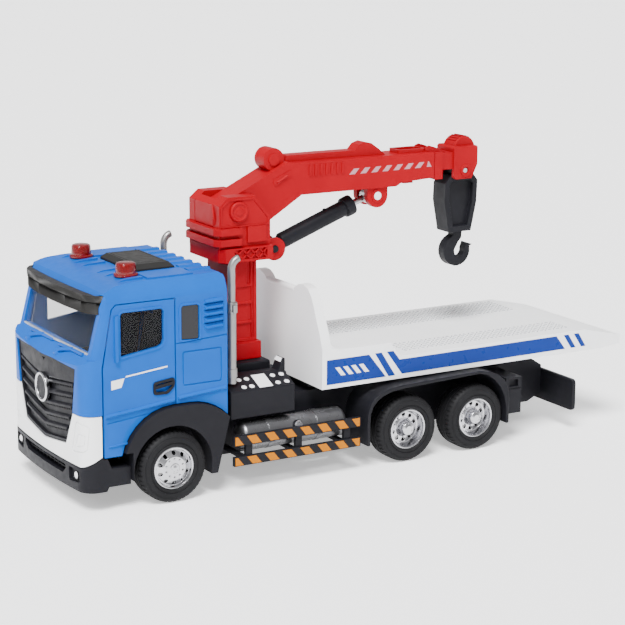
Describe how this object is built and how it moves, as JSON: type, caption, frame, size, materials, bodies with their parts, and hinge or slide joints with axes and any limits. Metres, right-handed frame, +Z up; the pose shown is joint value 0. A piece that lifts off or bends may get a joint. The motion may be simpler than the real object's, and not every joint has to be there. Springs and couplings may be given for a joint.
{
  "type": "toy tow truck",
  "caption": "Toy flatbed tow truck with opening doors, roof button, sliding and tilting bed, and a slewing telescopic loader crane with a hook.",
  "frame": {"origin": "on the ground, under the middle of the overall length and width", "axes": "-Y is forward, +X is the truck's left side, +Z is up"},
  "size_m": [0.086, 0.2766, 0.138],
  "materials": {
    "blue_body": "satin sprayed paint on the die-cast cab",
    "red_plastic": "self-coloured moulded plastic, soft gloss",
    "black_plastic": "charcoal moulded plastic",
    "dark_grey_plastic": "dark grey moulded plastic",
    "white_plastic": "white, slightly translucent moulded plastic",
    "grey_plastic": "grey moulded plastic",
    "orange_stripe": "charcoal plastic printed with orange slanted stripes",
    "chrome_plating": "vacuum-plated plastic",
    "silver_plastic": "silver painted plastic",
    "steel": "bright steel",
    "tyre_rubber": "black vinyl rubber",
    "clear_screen": "clear moulded plastic",
    "red_clear": "transparent red moulded plastic",
    "circuit_green": "green lacquered board"
  },
  "bodies": {
    "truck": {"chassis_frame": "black_plastic", "battery_cover": "black_plastic", "circuit_board": "circuit_green", "speaker": "grey_plastic", "crane_pedestal": "black_plastic", "crane_column": "red_plastic", "rear_underrun_plate": "black_plastic", "rear_fender_left": "black_plastic", "rear_fender_right": "black_plastic", "side_box_left": "black_plastic", "side_box_right": "black_plastic", "fuel_tank_left": "chrome_plating", "fuel_tank_right": "chrome_plating", "side_guard_left": "orange_stripe", "side_guard_right": "orange_stripe", "cab_shell": "blue_body", "windscreen": "clear_screen", "sun_visor": "dark_grey_plastic", "grille": "black_plastic", "badge": "silver_plastic", "front_panel": "white_plastic", "front_bumper": "black_plastic", "front_fender_left": "black_plastic", "front_fender_right": "black_plastic", "beacon_left": "red_clear", "beacon_right": "red_clear", "cab_interior": "grey_plastic", "exhaust_left": "silver_plastic", "exhaust_right": "silver_plastic"},
    "door_left": {"door_left": "blue_body"},
    "door_right": {"door_right": "blue_body"},
    "roof_button": {"roof_button": "dark_grey_plastic"},
    "wheels_front": {"axle_front": "steel", "rim_front_left": "chrome_plating", "tyre_front_left": "tyre_rubber", "rim_front_right": "chrome_plating", "tyre_front_right": "tyre_rubber"},
    "wheels_mid": {"axle_mid": "steel", "rim_mid_left": "chrome_plating", "tyre_mid_left": "tyre_rubber", "rim_mid_right": "chrome_plating", "tyre_mid_right": "tyre_rubber"},
    "wheels_rear": {"axle_rear": "steel", "rim_rear_left": "chrome_plating", "tyre_rear_left": "tyre_rubber", "rim_rear_right": "chrome_plating", "tyre_rear_right": "tyre_rubber"},
    "bed_frame": {"bed_subframe": "black_plastic"},
    "bed": {"flatbed": "white_plastic"},
    "crane_turret": {"turret": "red_plastic", "boom_pin": "red_plastic", "cylinder_base_pin": "black_plastic"},
    "boom": {"boom_outer": "red_plastic", "cylinder_rod_pin": "white_plastic"},
    "boom_extension": {"boom_inner": "red_plastic", "hook_pin": "steel"},
    "hook_block": {"hook_block": "black_plastic"},
    "hook": {"hook": "black_plastic"},
    "lift_barrel": {"cylinder_barrel": "black_plastic"},
    "lift_rod": {"cylinder_rod": "steel"}
  },
  "joints": [
    {"name": "door_left_swing", "type": "hinge", "parent": "truck", "child": "door_left", "pos_m": [0.0381, -0.12675, 0.054], "axis": [0, 0, -1], "range_deg": [0, 60]},
    {"name": "door_right_swing", "type": "hinge", "parent": "truck", "child": "door_right", "pos_m": [-0.0381, -0.12675, 0.054], "axis": [0, 0, 1], "range_deg": [0, 60]},
    {"name": "button_press", "type": "slide", "parent": "truck", "child": "roof_button", "axis": [0, 0, -1], "range_m": [0, 0.0012], "stiffness_N_per_m": 200, "springref_m": -0.0006},
    {"name": "wheels_front_roll", "type": "hinge", "parent": "truck", "child": "wheels_front", "pos_m": [0, -0.09775, 0.015], "axis": [1, 0, 0], "continuous": true},
    {"name": "wheels_mid_roll", "type": "hinge", "parent": "truck", "child": "wheels_mid", "pos_m": [0, 0.01685, 0.015], "axis": [1, 0, 0], "continuous": true},
    {"name": "wheels_rear_roll", "type": "hinge", "parent": "truck", "child": "wheels_rear", "pos_m": [0, 0.05315, 0.015], "axis": [1, 0, 0], "continuous": true},
    {"name": "bed_tilt", "type": "hinge", "parent": "truck", "child": "bed_frame", "pos_m": [0, 0.08715, 0.0343], "axis": [-1, 0, 0], "range_deg": [0, 12.5]},
    {"name": "bed_slide", "type": "slide", "parent": "bed_frame", "child": "bed", "axis": [0, 1, 0], "range_m": [0, 0.04]},
    {"name": "crane_slew", "type": "hinge", "parent": "truck", "child": "crane_turret", "pos_m": [0, -0.04885, 0.0923], "axis": [0, 0, 1], "range_deg": [-100, 100]},
    {"name": "boom_raise", "type": "hinge", "parent": "crane_turret", "child": "boom", "pos_m": [0, -0.05275, 0.1136], "axis": [1, 0, 0], "range_deg": [0, 25]},
    {"name": "barrel_swing", "type": "hinge", "parent": "crane_turret", "child": "lift_barrel", "pos_m": [0, -0.03025, 0.094], "axis": [1, 0, 0], "range_deg": [0, 28.8]},
    {"name": "rod_slide", "type": "slide", "parent": "lift_barrel", "child": "lift_rod", "axis": [0, 0.9369, 0.3495], "range_m": [0, 0.0124]},
    {"name": "boom_extend", "type": "slide", "parent": "boom", "child": "boom_extension", "axis": [0, 1, 0], "range_m": [0, 0.03]},
    {"name": "hook_swing", "type": "hinge", "parent": "boom_extension", "child": "hook_block", "pos_m": [0, 0.06865, 0.1216], "axis": [1, 0, 0], "range_deg": [-25, 25]},
    {"name": "hook_swivel", "type": "hinge", "parent": "hook_block", "child": "hook", "pos_m": [0, 0.06815, 0.0924], "axis": [0, 0, 1], "continuous": true}
  ],
  "couplings": [
    {"joint": "bed_tilt", "follows": "bed_slide", "rad_per_m": 5.4541},
    {"joint": "barrel_swing", "follows": "boom_raise", "ratio": 1.14},
    {"joint": "rod_slide", "follows": "boom_raise", "m_per_rad": 0.02835}
  ]
}
